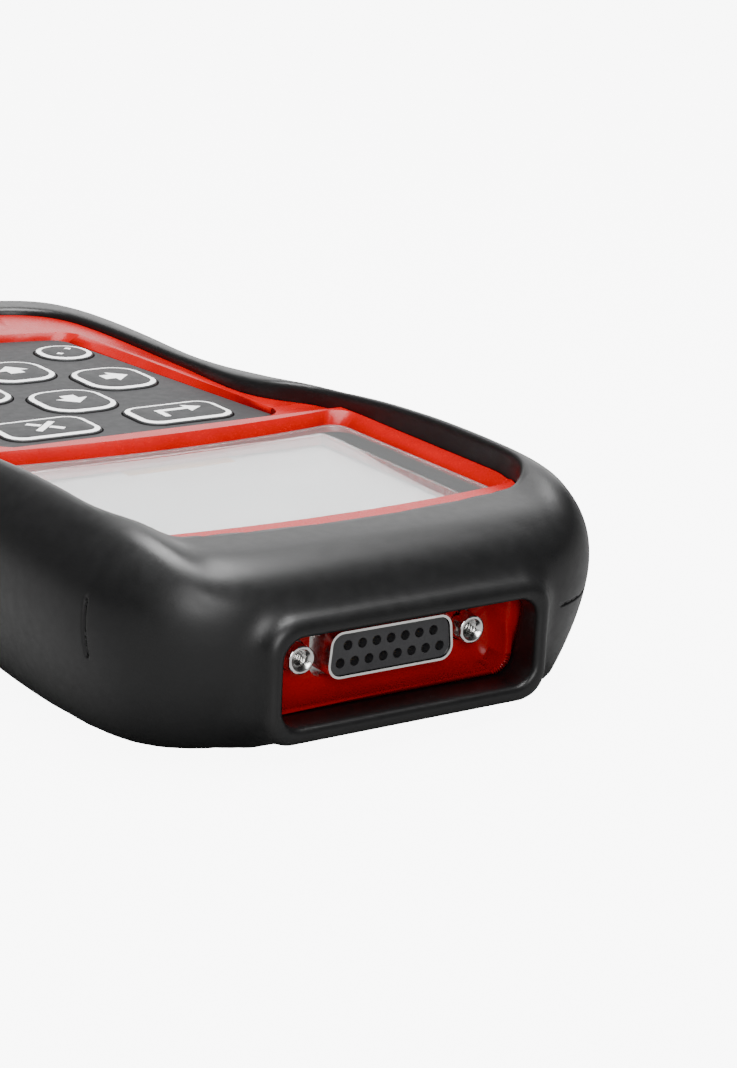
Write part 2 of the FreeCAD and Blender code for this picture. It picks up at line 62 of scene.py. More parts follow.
# %% camera
AZIMUTH, ELEVATION, ROLL = (math.radians(v) for v in (145.43, 16.86, 2.54))
CAMERA_PLACE = Vector((248.6, 446.1, 163.5))
FOCAL_LENGTH = 95.55
back = Vector((math.sin(AZIMUTH) * math.cos(ELEVATION), -math.cos(AZIMUTH) * math.cos(ELEVATION),
               math.sin(ELEVATION)))
right = (-back).cross(Vector((0, 0, 1))).normalized()
up = right.cross(-back)
right, up = (right * math.cos(ROLL) + up * math.sin(ROLL), up * math.cos(ROLL) - right * math.sin(ROLL))
camera = bpy.data.objects.new("camera", bpy.data.cameras.new("camera"))
camera.matrix_world = Matrix((right, up, back)).transposed().to_4x4()
camera.location = CAMERA_PLACE * MM
camera.data.lens = FOCAL_LENGTH
camera.data.clip_start, camera.data.clip_end = 0.01, 20
COLLECTION.objects.link(camera)
bpy.context.scene.camera = camera
print("camera at", [round(v, 3) for v in camera.location], "lens", FOCAL_LENGTH)

# %% [markdown]
# ## Materials
# Every finish is a Principled shader whose colour, roughness and bump come from noise on Object
# coordinates. All pieces sit at the origin, so one noise field runs through the whole reader and a
# pattern can't slide. Numbers that stay even over a piece, such as sheen, are set on the shader itself.

# %% material helper
def new_material(name):
    """A fresh material with its node tree and its Principled shader."""
    material = bpy.data.materials.new(name)
    material.use_nodes = True
    tree = material.node_tree
    return material, tree, tree.nodes["Principled BSDF"]


def node(tree, kind, links=None, **inputs):
    """Add a node, set its inputs by name and link the ones given as sockets."""
    made = tree.nodes.new(kind)
    for name, value in inputs.items():
        made.inputs[name.replace("_", " ")].default_value = value
    for name, socket in (links or {}).items():
        tree.links.new(socket, made.inputs[name])
    return made


def noise(tree, size_mm, detail=3.0, rough=0.5):
    """Noise whose blobs are about size_mm across, as a 0..1 value."""
    where = tree.nodes.new("ShaderNodeTexCoord")
    return node(tree, "ShaderNodeTexNoise", {"Vector": where.outputs["Object"]},
                Scale=1.0 / (size_mm * MM), Detail=detail, Roughness=rough).outputs["Fac"]


def spread(tree, value, low, high):
    """Stretch the middle of a noise value to the range low..high."""
    made = node(tree, "ShaderNodeMapRange", {"Value": value}, From_Min=0.3, From_Max=0.7,
                To_Min=low, To_Max=high)
    return made.outputs["Result"]


def shade(tree, fac, dark, light):
    """Blend two colours by a 0..1 value."""
    mix = tree.nodes.new("ShaderNodeMix")
    mix.data_type = "RGBA"
    mix.inputs["A"].default_value = (*dark, 1)
    mix.inputs["B"].default_value = (*light, 1)
    tree.links.new(fac, mix.inputs["Factor"])
    return mix.outputs["Result"]


def bump(tree, shader, layers):
    """layers: (noise size in mm, height in mm); each bump feeds the next."""
    last = None
    for size, height in layers:
        made = node(tree, "ShaderNodeBump", {"Height": noise(tree, size, 2.0)}, Distance=height * MM,
                    Strength=1.0)
        if last is not None:
            tree.links.new(last.outputs["Normal"], made.inputs["Normal"])
        last = made
    tree.links.new(last.outputs["Normal"], shader.inputs["Normal"])


def finish(name, dark, light, rough, grain, patch_mm=9.0, **even):
    """A moulded, cast or plated finish: mottled colour, mottled roughness and a fine grain."""
    material, tree, shader = new_material(name)
    patch = spread(tree, noise(tree, patch_mm), 0.0, 1.0)
    tree.links.new(shade(tree, patch, dark, light), shader.inputs["Base Color"])
    fine = spread(tree, noise(tree, patch_mm * 0.23, 4.0), *rough)
    tree.links.new(fine, shader.inputs["Roughness"])
    for key, value in even.items():
        shader.inputs[key.replace("_", " ")].default_value = value
    bump(tree, shader, grain)
    return material


# %% the finishes
RUBBER = finish("boot_rubber", (0.0036, 0.0036, 0.0038), (0.0050, 0.0050, 0.0052), (0.38, 0.44),
                [(0.32, 0.005), (1.4, 0.006)], Specular_IOR_Level=0.40)
RED = finish("red_abs", (0.27, 0.0002, 0.0006), (0.31, 0.0003, 0.0009), (0.24, 0.31),
             [(0.5, 0.0015), (6.0, 0.003)], Specular_IOR_Level=0.14)
KEYPAD = finish("keypad_silicone", (0.022, 0.022, 0.023), (0.027, 0.027, 0.028), (0.52, 0.62),
                [(0.28, 0.004)], Specular_IOR_Level=0.14)
KEYCAP = finish("key_silicone", (0.016, 0.016, 0.017), (0.020, 0.020, 0.021), (0.50, 0.60),
                [(0.25, 0.003)], Specular_IOR_Level=0.20)
INK = finish("white_ink", (0.80, 0.80, 0.80), (0.86, 0.86, 0.86), (0.45, 0.55), [(0.2, 0.002)])
BLACK = finish("black_nylon", (0.020, 0.020, 0.021), (0.027, 0.027, 0.028), (0.38, 0.5), [(0.3, 0.003)])
INSULATOR = finish("socket_plastic", (0.020, 0.020, 0.022), (0.030, 0.030, 0.032), (0.30, 0.42),
                   [(0.25, 0.003)])
NICKEL = finish("bright_nickel", (0.72, 0.71, 0.69), (0.82, 0.81, 0.80), (0.14, 0.24),
                [(0.6, 0.001)], 3.0, Metallic=1.0)
GOLD = finish("contact_gold", (0.62, 0.42, 0.16), (0.72, 0.50, 0.20), (0.2, 0.3), [(0.3, 0.001)], 2.0,
              Metallic=1.0)
STEEL = finish("zinc_steel", (0.52, 0.52, 0.53), (0.66, 0.66, 0.68), (0.26, 0.38), [(0.4, 0.002)], 3.0,
               Metallic=1.0)
BOARD = finish("green_board", (0.010, 0.085, 0.030), (0.014, 0.105, 0.036), (0.25, 0.35), [(0.5, 0.003)],
               4.0)
FILM = finish("amber_film", (0.42, 0.17, 0.03), (0.50, 0.21, 0.04), (0.25, 0.35), [(0.6, 0.002)], 4.0)
PLATE = finish("plate_foil", (0.60, 0.60, 0.61), (0.68, 0.68, 0.69), (0.32, 0.40), [(0.35, 0.002)], 6.0,
               Metallic=0.6)
DIFFUSER = finish("diffuser", (0.80, 0.81, 0.80), (0.86, 0.87, 0.86), (0.4, 0.5), [(0.4, 0.002)])
BORDER = finish("window_border", (0.86, 0.87, 0.87), (0.90, 0.91, 0.91), (0.35, 0.45), [(0.5, 0.001)])
CERAMIC = finish("chip_resin", (0.022, 0.022, 0.023), (0.030, 0.030, 0.031), (0.45, 0.6), [(0.2, 0.004)],
                 2.0)


# %% [markdown]
# The window is clear acrylic over a display that is switched off. A display at rest is a pale grey
# sheet with the faintest cell pattern, so the cells are two crossed waves. A wave texture of scale 1
# repeats every pi / 10 units, which is where the scale below comes from.

# %% window and display materials
CELL = 0.36


def lens_material():
    material, tree, shader = new_material("clear_window")
    shader.inputs["Transmission Weight"].default_value = 0.92
    shader.inputs["IOR"].default_value = 1.49
    tint = spread(tree, noise(tree, 14.0), 0.0, 1.0)
    tree.links.new(shade(tree, tint, (0.93, 0.94, 0.94), (0.97, 0.98, 0.98)), shader.inputs["Base Color"])
    tree.links.new(spread(tree, noise(tree, 5.0), 0.02, 0.06), shader.inputs["Roughness"])
    bump(tree, shader, [(12.0, 0.004)])
    return material


def display_material():
    material, tree, shader = new_material("display_face")
    where = tree.nodes.new("ShaderNodeTexCoord").outputs["Object"]
    cells = []
    for direction in ("X", "Y"):
        wave = node(tree, "ShaderNodeTexWave", {"Vector": where}, Scale=math.pi * 0.1 / (CELL * MM))
        wave.bands_direction = direction
        cells.append(wave.outputs["Fac"])
    both = tree.nodes.new("ShaderNodeMath")
    both.operation = "MULTIPLY"
    tree.links.new(cells[0], both.inputs[0])
    tree.links.new(cells[1], both.inputs[1])
    tree.links.new(shade(tree, both.outputs[0], (0.875, 0.89, 0.89), (0.90, 0.915, 0.915)),
                   shader.inputs["Base Color"])
    tree.links.new(spread(tree, noise(tree, 8.0), 0.18, 0.26), shader.inputs["Roughness"])
    return material


LENS, DISPLAY = lens_material(), display_material()


# %% [markdown]
# ## Meshes and pieces
# A piece's mesh is written in place, in metres, and the object stays at the origin. The helper also
# says how many triangles were made.

# %% piece helper
def piece(name, mesh, material, body, smooth=True, stands_for=()):
    """Put a mesh in the scene on a body. With smooth None it keeps the shading that it came with."""
    made = bpy.data.objects.new(name, mesh)
    mesh.name = name
    mesh.materials.clear()
    mesh.materials.append(material)
    for polygon in mesh.polygons:
        polygon.material_index = 0
        if smooth is not None:
            polygon.use_smooth = smooth
    COLLECTION.objects.link(made)
    if stands_for:
        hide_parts(*stands_for)
    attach(made, body)
    print("piece", name, sum(len(p.vertices) - 2 for p in mesh.polygons), "triangles")
    return made


def raw_mesh(name, points_mm, faces):
    """A mesh from points in millimetres and faces as lists of point numbers."""
    mesh = bpy.data.meshes.new(name)
    mesh.from_pydata([tuple(float(v) * MM for v in p) for p in points_mm], [], faces)
    mesh.update()
    return mesh


# %% [markdown]
# ## Boot: the field
# The boot is one soft rubber moulding. Every edge on it runs into the next face with a fillet, and the
# socket collar grows out of the end without a seam. Such a shape is awkward as a stack of flat-sided
# solids and easy as a field: each face is a signed distance, and a smooth maximum or minimum of two
# distances leaves a fillet where they meet. The solid is where the field is below zero.

# %% outlines of the boot and its opening
# Half outlines are (x, y) from the far end to the near end. The rims are (y, height).
HALF = [(0, -100), (13, -99.6), (25, -97.6), (34, -91.8), (38.8, -82), (40.6, -68), (40.7, -54),
        (40.1, -40), (40.0, -26), (42.0, -12), (45.2, 2), (47.7, 16), (49.2, 31), (49.9, 46),
        (49.8, 65.9), (48.2, 78.3), (44.9, 86.7), (39.6, 92.3), (31.9, 96.0), (21.6, 97.6)]
NEAR = (0, 98.0)
OPENING = [(0, -84.8), (12, -84.2), (21.5, -82), (27.5, -76.5), (30.2, -67), (31.0, -52), (31.0, -36),
           (30.8, -20), (30.9, -6), (33.6, 2.5), (38.0, 8.5), (40.1, 17), (40.3, 30), (40.3, 45),
           (40.3, 60), (39.7, 70), (36.0, 77.4), (28, 80.0), (14, 81.5)]
OPENING_NEAR = (0, 82.0)
RIM_MIDDLE = [(110, 8), (102, 21.5), (100, 26), (97, 29), (93, 31), (88.5, 32), (84, 32.4), (80, 32.8),
              (75, 33.6), (66, 35.3)]
RIM_SIDE = [(110, 8), (100.6, 21.5), (98.6, 28), (95.1, 32.4), (91.1, 35.1), (86.6, 36.5), (79, 36.9),
            (66, 36.9)]
RIM_REST = [(45, 36.9), (29, 36.0), (13, 34.5), (-2, 33.1), (-17, 32.3), (-32, 31.8), (-60, 31.5),
            (-85, 31.3), (-108, 30.4)]


def closed_curve(half, near, count=1500):
    """Points along the natural spline that closes a mirrored half outline."""
    knots = np.array(half + [near] + [(-x, y) for x, y in reversed(half[1:])], float)
    total = len(knots)
    chord = np.linalg.norm(np.roll(knots, -1, 0) - knots, axis=1)
    rows, turns = np.zeros((total, total)), np.zeros((total, 2))
    for i in range(total):
        j = (i + 1) % total
        rows[i, i - 1] += chord[i - 1]
        rows[i, i] += 2 * (chord[i - 1] + chord[i])
        rows[i, j] += chord[i]
        turns[i] = 6 * ((knots[j] - knots[i]) / chord[i] - (knots[i] - knots[i - 1]) / chord[i - 1])
    bend = np.linalg.solve(rows, turns)
    reached = np.r_[0, np.cumsum(chord)]
    along = np.linspace(0, reached[-1], count, endpoint=False)
    i = np.clip(np.searchsorted(reached, along, side="right") - 1, 0, total - 1)
    j = (i + 1) % total
    past, left = (along - reached[i])[:, None], (reached[i + 1] - along)[:, None]
    span = chord[i][:, None]
    curved = (bend[i] * left ** 3 + bend[j] * past ** 3) / (6 * span)
    return curved + (knots[i] / span - bend[i] * span / 6) * left \
        + (knots[j] / span - bend[j] * span / 6) * past


class Distance:
    """Signed distance to a closed outline, negative inside, kept on a 1 mm grid and read smoothly."""
    X0, Y0, NX, NY = -60, -112, 121, 229
    BATCH = 2000
    STRAIGHT = 2.0      # nearer than this the distance is taken square to the curve

    def __init__(self, curve):
        ahead = np.roll(curve, -1, 0) - np.roll(curve, 1, 0)
        ahead /= np.linalg.norm(ahead, axis=1)[:, None]
        normal = np.stack([ahead[:, 1], -ahead[:, 0]], 1)
        xs, ys = np.meshgrid(self.X0 + np.arange(self.NX), self.Y0 + np.arange(self.NY), indexing="ij")
        at = np.stack([xs.ravel(), ys.ravel()], 1).astype(float)
        found = np.empty(len(at))
        for start in range(0, len(at), self.BATCH):
            part = at[start:start + self.BATCH]
            near = ((part[:, None] - curve[None]) ** 2).sum(2).argmin(1)
            away = part - curve[near]
            square = (away * normal[near]).sum(1)
            direct = np.sign(square) * np.linalg.norm(away, axis=1)
            found[start:start + self.BATCH] = np.where(np.abs(direct) < self.STRAIGHT, square, direct)
        self.grid = found.reshape(self.NX, self.NY)

    def __call__(self, x, y):
        u = np.clip(x - self.X0, 1, self.NX - 3.001)
        v = np.clip(y - self.Y0, 1, self.NY - 3.001)
        i, j = u.astype(int), v.astype(int)
        total = 0.0
        for a, wa in enumerate(weights(u - i)):
            for b, wb in enumerate(weights(v - j)):
                total = total + wa * wb * self.grid[i + a - 1, j + b - 1]
        return total


def weights(t):
    """Cubic B-spline weights of the four grid points round a place."""
    return ((1 - t) ** 3 / 6, (3 * t ** 3 - 6 * t ** 2 + 4) / 6,
            (-3 * t ** 3 + 3 * t ** 2 + 3 * t + 1) / 6, t ** 3 / 6)


def table(points, step=0.25, softness=2.0, reach=24):
    """Height and slope along the reader, from a short list of points rounded by a bell curve."""
    y = np.arange(-120, 120, step)
    known = np.array(sorted(points), float)
    z = np.interp(y, known[:, 0], known[:, 1])
    kernel = np.exp(-0.5 * (np.arange(-reach, reach + 1) * step / softness) ** 2)
    z = np.convolve(np.pad(z, reach, mode="edge"), kernel / kernel.sum(), "valid")
    return y, z, np.gradient(z, y)


outline = Distance(closed_curve(HALF, NEAR))
gap = Distance(closed_curve(OPENING, OPENING_NEAR))
middle, side = table(RIM_MIDDLE + RIM_REST), table(RIM_SIDE + RIM_REST)
print("boot: rim height", round(float(middle[1].max()), 2), "in the middle and",
      round(float(side[1].max()), 2), "at the sides")

# %% [markdown]
# ## Boot: faces and fillets
# The reaches of the fillets suit a rubber moulding of this size: 4 mm where the sides roll over into
# the rim, about 3 mm where the collar leaves the end, and 1 to 2 mm on the lips round the face and the
# pocket. The side bulges: it is widest part of the way up and draws in above and below that level.

# %% the boot's measures
WIDEST, RISE, DROP = 20.5, 15.8, 19.6       # widest level, and the climb and fall from it to the edges
TUCK_IN, TUCK_UNDER = 8.0, 5.4              # how far the side has drawn in at those edges
LEAN_ABOVE, LEAN_BELOW = 1.215, 0.5         # slope of the side there
RAISED_FROM, RAISED_OVER = 31, 13.5         # the side rim takes over from the middle rim across these
CROWN, SIDE_CROWN, CROWN_LENGTH = 0.45, 0.5, 60
UNDERSIDE, LEDGE, LEDGE_TOP = 0.9, 10.0, 6.0
WALL, ROOF, FLOOR = 2.6, 28.6, 2.35
MOUTH, COLLAR_BACK, FLARE = 100.0, 82.0, 11.0
POCKET, POCKET_BACK = (24.4, 5.67, 20.51, 3.6), 80.0
FACE_FLOOR = 20.0
ROLL_OVER, FOOT_EDGE, MOUTH_EDGE, COLLAR_ROOT = 4.0, 0.8, 1.8, 3.2
INNER_EDGE, POCKET_LIP, FACE_LIP, LEDGE_LIP = 0.4, 1.3, 1.6, 1.0
SLIT = (47.9, 78.4, 20.0)         # upright slit in the rubber beyond the socket, on the +X side
CREASE = (-37.0, 93.2, 16.7)      # short mould line round the near corner of the -X side


# %% the boot's field
def smooth_max(a, b, radius):
    """Larger of two distances, with a fillet where they cross."""
    h = np.maximum(radius - np.abs(a - b), 0) / radius
    return np.maximum(a, b) + h * h * radius / 4


def smooth_min(a, b, radius):
    return -smooth_max(-a, -b, radius)


def rounded_box(x, z, half_x, z0, z1, r):
    """Distance to a tunnel along Y whose section is a rectangle with corners of radius r."""
    qx = np.abs(x) - (half_x - r)
    qz = np.abs(z - (z0 + z1) / 2) - ((z1 - z0) / 2 - r)
    return np.hypot(np.maximum(qx, 0), np.maximum(qz, 0)) + np.minimum(np.maximum(qx, qz), 0) - r


def belly(z):
    """How far the side has drawn in from its widest outline at a level."""
    return np.where(z > WIDEST, TUCK_IN * (np.maximum(z - WIDEST, 0) / RISE) ** 2.4,
                    TUCK_UNDER * (np.maximum(WIDEST - z, 0) / DROP) ** 1.63)


def dent(t, middle, soft, half):
    """1 within half of the middle, falling off like a bell over soft beyond it."""
    return np.exp(-(np.maximum(np.abs(t - middle) - half, 0) / soft) ** 2)


def boot_field(p):
    """Roughly the distance from points p to the rubber's skin, negative inside the rubber."""
    x, y, z = p[:, 0], p[:, 1], p[:, 2]
    around = outline(x, y) + belly(z)
    lean = np.where(z > WIDEST, LEAN_ABOVE * (np.maximum(z - WIDEST, 0) / RISE) ** 1.4, LEAN_BELOW)
    flank = around / np.sqrt(1 + lean ** 2)
    mix = np.clip((np.abs(x) - RAISED_FROM) / RAISED_OVER, 0, 1)
    mix = mix ** 3 * (mix * (6 * mix - 15) + 10)
    rim = (1 - mix) * np.interp(y, middle[0], middle[1]) + mix * np.interp(y, side[0], side[1])
    slope = (1 - mix) * np.interp(y, middle[0], middle[2]) + mix * np.interp(y, side[0], side[2])
    crown = CROWN + SIDE_CROWN * np.clip(y / CROWN_LENGTH, 0, 1) * mix
    cap = (z - rim - crown) / np.sqrt(1 + slope ** 2)
    body = smooth_max(smooth_max(flank, cap, ROLL_OVER), UNDERSIDE - z, FOOT_EDGE)
    out = np.clip((MOUTH - y) / FLARE, 0, 1.6)
    collar = rounded_box(x, z, 27.1 + 5.0 * out ** 1.5, 2.9 - 1.7 * out, 23.2 + 3.6 * out ** 1.3,
                         5.0 + 2.0 * out)
    collar = np.maximum(smooth_max(collar, y - MOUTH, MOUTH_EDGE), COLLAR_BACK - y)
    body = smooth_min(body, collar, COLLAR_ROOT)
    hollow = np.maximum(np.maximum(around + WALL, z - ROOF), FLOOR - z)
    body = smooth_max(body, -hollow, INNER_EDGE)
    pocket = np.maximum(rounded_box(x, z, *POCKET), POCKET_BACK - y)
    body = smooth_max(body, -pocket, POCKET_LIP)
    body = smooth_max(body, -np.maximum(gap(x, y), FACE_FLOOR - z), FACE_LIP)
    body = smooth_max(body, -np.maximum(outline(x, y) + LEDGE, z - LEDGE_TOP), LEDGE_LIP)
    slit = dent(y, SLIT[1], 0.30, 0.0) * dent(z, SLIT[2], 0.5, 4.3) * (x > 20)
    crease = 0.45 * dent(z, CREASE[2], 0.22, 0.0) * dent(x, CREASE[0], 0.8, 3.6) * (y > 80)
    return body + slit + crease


def slope_of(field, p, step=0.06):
    """Gradient of a field by central differences."""
    parts = []
    for axis in range(3):
        shift = np.zeros(3)
        shift[axis] = step
        parts.append((field(p + shift) - field(p - shift)) / (2 * step))
    return np.stack(parts, 1)


def settle(field, p, rounds=7, stride=0.7):
    """Slide points down the field's slope until they lie on its zero surface."""
    for _ in range(rounds):
        value, slope = field(p), slope_of(field, p)
        size = np.maximum((slope ** 2).sum(1), 0.05)
        move = -(value / size)[:, None] * slope
        far = np.linalg.norm(move, axis=1)
        p = p + move * np.minimum(1.0, stride / np.maximum(far, 1e-9))[:, None]
    return p


# %% [markdown]
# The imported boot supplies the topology. A voxel remesh turns it into even quads, each corner then
# slides onto the field, and the field's own slope gives the shading normals, so the fillets shade
# cleanly. Faces round the slit and the crease are split first, as both are narrower than a voxel.

# %% the boot's mesh
VOXEL = 0.92


def remeshed(source, voxel_mm):
    """An evenly meshed copy of an object's surface."""
    scratch = bpy.data.objects.new("scratch", source.data.copy())
    COLLECTION.objects.link(scratch)
    remesh = scratch.modifiers.new("remesh", "REMESH")
    remesh.mode = "VOXEL"
    remesh.voxel_size = voxel_mm * MM
    bpy.context.view_layer.update()
    made = bpy.data.meshes.new_from_object(scratch.evaluated_get(bpy.context.evaluated_depsgraph_get()))
    bpy.data.objects.remove(scratch)
    return made


def points_of(mesh):
    """A mesh's points in millimetres, one row each."""
    co = np.empty(len(mesh.vertices) * 3)
    mesh.vertices.foreach_get("co", co)
    return co.reshape(-1, 3) / MM


def refine(mesh, middle, reach, cuts):
    """Split the faces in a box round a small detail, so that the detail has points to live on."""
    work = bmesh.new()
    work.from_mesh(mesh)
    low, high = Vector(middle) - Vector(reach), Vector(middle) + Vector(reach)
    edges = [e for e in work.edges
             if all(all(low[i] < v.co[i] / MM < high[i] for i in range(3)) for v in e.verts)]
    bmesh.ops.subdivide_edges(work, edges=edges, cuts=cuts, use_grid_fill=True)
    work.to_mesh(mesh)
    work.free()


boot_mesh = remeshed(NODES["boot"], VOXEL)
refine(boot_mesh, SLIT, (3.5, 2.0, 6.0), 3)
refine(boot_mesh, CREASE, (5.0, 4.0, 1.6), 3)
boot_points = settle(boot_field, points_of(boot_mesh))
print("boot: points", len(boot_points), "furthest off the field, mm",
      round(float(np.abs(boot_field(boot_points)).max()), 3))
boot_mesh.vertices.foreach_set("co", (boot_points * MM).ravel())
normals = slope_of(boot_field, boot_points, 0.15)
normals /= np.linalg.norm(normals, axis=1)[:, None]
piece("boot_rubber", boot_mesh, RUBBER, "housing", stands_for=("boot",))
boot_mesh.normals_split_custom_set_from_vertices(normals.tolist())
boot_mesh.update()

# %% [markdown]
# ## Front moulding
# The red moulding round the window and the keypad is a thin domed shell with many small edges. A bevel
# on such a dense mesh leaves specks of light, so it has none. Its copy is welded, its edges are marked
# sharp, and each point's normal leans towards the larger faces round it, which keeps the dome smooth.

# %% the front moulding
def welded(name, material, body):
    """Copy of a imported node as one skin, smooth up to its sharp edges."""
    mesh = NODES[name].data.copy()
    work = bmesh.new()
    work.from_mesh(mesh)
    bmesh.ops.remove_doubles(work, verts=work.verts, dist=2e-6)
    work.to_mesh(mesh)
    work.free()
    for polygon in mesh.polygons:
        polygon.use_smooth = True
    mesh.set_sharp_from_angle(angle=math.radians(30))
    made = piece(name + "_moulding", mesh, material, body, smooth=None, stands_for=(name,))
    weighted = made.modifiers.new("WeightedNormal", "WEIGHTED_NORMAL")
    weighted.mode = "FACE_AREA"
    weighted.weight = 100
    weighted.keep_sharp = True


welded("front_shell", RED, "housing")

# %% [markdown]
# ## Moulded and stamped parts
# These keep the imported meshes, which already carry every rib, post and hole. Each gets its finish and
# most get a small bevel, because no moulded or stamped edge is knife sharp and the thin highlight along
# it is what makes it read as a real part. The width is that of the process, in millimetres: 0.4 on the
# back moulding, 0.15 on the silicone panel, about 0.1 on stamped metal and less on small chips.

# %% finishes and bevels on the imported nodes
def soften(target, width_mm, segments=2):
    """Round every edge that turns by more than 35 degrees."""
    bevel = target.modifiers.new("edge", "BEVEL")
    bevel.width = width_mm * MM
    bevel.segments = segments
    bevel.limit_method = "ANGLE"
    bevel.angle_limit = math.radians(35)
    bevel.harden_normals = True
    bevel.use_clamp_overlap = True


FINISHES = {
    "rear_shell": (RED, 0.4), "rating_plate": (PLATE, 0.04),
    "screen_lens": (LENS, 0.2), "lens_tape": (BORDER, 0.0), "lcd_frame": (STEEL, 0.1),
    "lcd_backlight": (DIFFUSER, 0.1), "lcd_glass": (DISPLAY, 0.0), "lcd_flex": (FILM, 0.0),
    "flex_socket": (BLACK, 0.08), "keypad_panel": (KEYPAD, 0.15), "snap_domes": (STEEL, 0.0),
    "display_board": (BOARD, 0.08), "main_board": (BOARD, 0.08), "board_socket": (BLACK, 0.08),
    "board_header": (BLACK, 0.06), "connector_shell": (NICKEL, 0.08),
    "connector_insulator": (INSULATOR, 0.06), "connector_contacts": (GOLD, 0.0),
    "connector_bracket": (STEEL, 0.08), "controller_chip": (CERAMIC, 0.05),
    "memory_chips": (CERAMIC, 0.05), "transceiver_chips": (CERAMIC, 0.05), "crystal": (STEEL, 0.1),
    "regulator": (CERAMIC, 0.08), "capacitors": (NICKEL, 0.1), "buzzer": (BLACK, 0.15),
    "small_passives": (CERAMIC, 0.05), "housing_screws": (STEEL, 0.1),
    "main_board_screws": (STEEL, 0.08), "display_board_screws": (STEEL, 0.08),
}
for name, (material, width) in FINISHES.items():
    packed = NODES[name]
    if not packed.data.materials:
        packed.data.materials.append(material)
    for index in range(len(packed.data.materials)):
        packed.data.materials[index] = material
    if width:
        soften(packed, width)
print("packed nodes finished:", len(FINISHES))

# %% [markdown]
# ## Printing on the keys
# Each key carries a white ring just inside its edge and a sign in the middle, screen printed on the
# silicone. The print is real geometry 0.1 mm thick and half sunk in the key, so it keeps its edge from
# any distance. The ring is the same recipe eight times over, so it is a node tree with the key's size
# as its inputs.

# %% the ring tree
def ring_tree():
    """A flat strip swept round a rounded rectangle."""
    tree = bpy.data.node_groups.new("printed_ring", "GeometryNodeTree")
    faces = tree.interface
    for name in ("Width", "Height", "Radius", "Band", "Thick"):
        faces.new_socket(name, in_out="INPUT", socket_type="NodeSocketFloat")
    faces.new_socket("Centre", in_out="INPUT", socket_type="NodeSocketVector")
    faces.new_socket("Ink", in_out="INPUT", socket_type="NodeSocketMaterial")
    faces.new_socket("Geometry", in_out="OUTPUT", socket_type="NodeSocketGeometry")
    given = tree.nodes.new("NodeGroupInput").outputs
    result = tree.nodes.new("NodeGroupOutput")
    path = node(tree, "GeometryNodeCurvePrimitiveQuadrilateral",
                {"Width": given["Width"], "Height": given["Height"]})
    round_off = tree.nodes.new("GeometryNodeFilletCurve")
    round_off.mode = "POLY"
    round_off.inputs["Count"].default_value = 14
    tree.links.new(path.outputs["Curve"], round_off.inputs["Curve"])
    tree.links.new(given["Radius"], round_off.inputs["Radius"])
    level = tree.nodes.new("GeometryNodeSetCurveNormal")
    level.mode = "Z_UP"
    tree.links.new(round_off.outputs["Curve"], level.inputs["Curve"])
    strip = node(tree, "GeometryNodeCurvePrimitiveQuadrilateral",
                 {"Width": given["Band"], "Height": given["Thick"]})
    swept = node(tree, "GeometryNodeCurveToMesh",
                 {"Curve": level.outputs["Curve"], "Profile Curve": strip.outputs["Curve"]})
    moved = node(tree, "GeometryNodeTransform",
                 {"Geometry": swept.outputs["Mesh"], "Translation": given["Centre"]})
    real = node(tree, "GeometryNodeRealizeInstances", {"Geometry": moved.outputs["Geometry"]})
    inked = node(tree, "GeometryNodeSetMaterial",
                 {"Geometry": real.outputs["Geometry"], "Material": given["Ink"]})
    tree.links.new(inked.outputs["Geometry"], result.inputs["Geometry"])
    return tree


def grown(tree, **values):
    """The plain mesh that a node tree grows for these input values."""
    seed = bpy.data.objects.new("seed", bpy.data.meshes.new("seed"))
    COLLECTION.objects.link(seed)
    modifier = seed.modifiers.new("grow", "NODES")
    modifier.node_group = tree
    for item in tree.interface.items_tree:
        if item.item_type == "SOCKET" and item.in_out == "INPUT" and item.name in values:
            modifier[item.identifier] = values[item.name]
    bpy.context.view_layer.update()
    made = bpy.data.meshes.new_from_object(seed.evaluated_get(bpy.context.evaluated_depsgraph_get()))
    bpy.data.objects.remove(seed)
    return made


# %% [markdown]
# ## Keys
# A silicone key is slightly domed, has a skirt that holds it under the panel, and a stem that presses
# its snap dome. The cap is built as rings of one rounded rectangle at different insets and heights, and
# the flat prints are laid over the same dome afterwards.

# %% key sizes
# centre x, centre y, width, height and corner radius
KEYS = {"key_enter": (-14.0, 0.2, 19.8, 13.0, 4.0), "key_back": (14.0, 0.2, 19.8, 13.0, 4.0),
        "key_up": (0.0, -15.6, 15.4, 16.6, 6.0), "key_left": (-15.8, -28.0, 15.0, 17.2, 6.0),
        "key_right": (15.8, -28.0, 15.0, 17.2, 6.0), "key_down": (0.0, -40.4, 15.4, 16.6, 6.0),
        "key_status": (-17.0, -51.0, 11.4, 12.4, 5.6), "key_help": (17.0, -51.0, 11.4, 12.4, 5.6)}
KEY_TOP = 29.70
DOME_DROP, DOME_REACH = 0.42, 5.0
STEM_FOOT, STEM_TOP, STEM_RADIUS, STEM_SIDES = 22.9, 24.95, 1.8, 24
BAND, THICK, INSET = 1.0, 0.10, 0.85


# %% the domed face and the caps
def pillow(x, y, key):
    """Height of the domed face of a key at a place."""
    cx, cy, w, h, r = key
    qx, qy = np.abs(x - cx) - (w / 2 - r), np.abs(y - cy) - (h / 2 - r)
    depth = r - np.hypot(np.maximum(qx, 0), np.maximum(qy, 0)) - np.minimum(np.maximum(qx, qy), 0)
    return KEY_TOP - DOME_DROP * (1 - np.clip(depth / DOME_REACH, 0, 1)) ** 2


def draped(mesh, key):
    """Lay a flat print, made at KEY_TOP, over the domed key face."""
    points = points_of(mesh)
    points[:, 2] += pillow(points[:, 0], points[:, 1], key) - KEY_TOP
    mesh.vertices.foreach_set("co", (points * MM).ravel())
    mesh.update()
    return mesh


